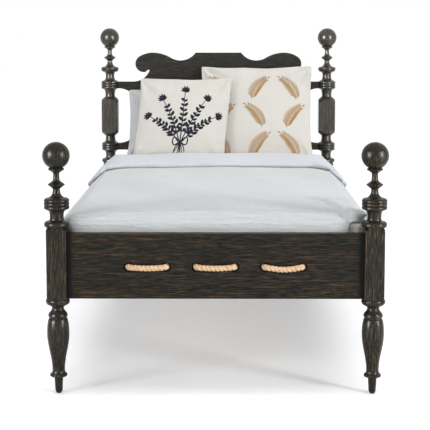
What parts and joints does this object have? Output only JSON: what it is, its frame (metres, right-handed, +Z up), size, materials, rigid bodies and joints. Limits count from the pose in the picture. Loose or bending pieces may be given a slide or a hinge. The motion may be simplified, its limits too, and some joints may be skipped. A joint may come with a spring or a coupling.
{
  "type": "rope bed",
  "caption": "Single bed with turned ball-topped posts, a scrolled headboard and a laced rope base, with its mattress, coverlet and pillows.",
  "frame": {"origin": "on the floor, midway between the four posts", "axes": "+Z up, +Y towards the headboard, +X to the right as seen from the foot of the bed"},
  "size_m": [1.119, 2.0888, 1.1885],
  "materials": {
    "dark_wood": "dark stain with the wood's brown showing at the grain and edges, satin",
    "pale_wood": "bare beech",
    "glide_plastic": "smooth",
    "zinc_steel": "zinc plated",
    "rope_fibre": "three-strand twisted natural fibre",
    "mattress_cloth": "beige woven cover",
    "coverlet_linen": "pale grey washed linen",
    "sheet_cotton": "white cotton, cool",
    "pillow_cotton": "white cotton, cool",
    "right_cushion_cloth": "cream cloth with gold stitched sprigs",
    "left_cushion_cloth": "cream cloth with a dark stitched sprig"
  },
  "bodies": {
    "frame": {"foot_post_left": "dark_wood", "foot_post_right": "dark_wood", "head_post_left": "dark_wood", "head_post_right": "dark_wood", "foot_finial_left": "dark_wood", "foot_finial_right": "dark_wood", "head_finial_left": "dark_wood", "head_finial_right": "dark_wood", "finial_dowels": "pale_wood", "floor_glides": "glide_plastic", "foot_rail": "dark_wood", "head_rail": "dark_wood", "side_rail_left": "dark_wood", "side_rail_right": "dark_wood", "crest_board": "dark_wood", "headboard_middle_board": "dark_wood", "headboard_lower_board": "dark_wood", "headboard_dowels": "pale_wood", "rail_hook_plates": "zinc_steel", "post_catch_plates": "zinc_steel", "rail_plate_screws": "zinc_steel", "catch_plate_screws": "zinc_steel", "lengthwise_rope": "rope_fibre", "crosswise_rope": "rope_fibre", "lengthwise_rope_knots": "rope_fibre", "crosswise_rope_knots": "rope_fibre"},
    "bedding": {"mattress": "mattress_cloth", "coverlet": "coverlet_linen", "turned_sheet": "sheet_cotton"},
    "white_pillow_body": {"white_pillow": "pillow_cotton"},
    "right_pillow_body": {"right_pillow": "right_cushion_cloth"},
    "left_pillow_body": {"left_pillow": "left_cushion_cloth"}
  },
  "joints": [
    {"name": "bedding_lift", "type": "slide", "parent": "frame", "child": "bedding", "axis": [0, 0, 1], "range_m": [0, 0.75]},
    {"name": "white_pillow_lift", "type": "slide", "parent": "bedding", "child": "white_pillow_body", "axis": [0, 0, 1], "range_m": [0, 0.4]},
    {"name": "right_pillow_lift", "type": "slide", "parent": "white_pillow_body", "child": "right_pillow_body", "axis": [0, 0, 1], "range_m": [0, 0.5]},
    {"name": "left_pillow_lift", "type": "slide", "parent": "right_pillow_body", "child": "left_pillow_body", "axis": [0, 0, 1], "range_m": [0, 0.5]}
  ]
}
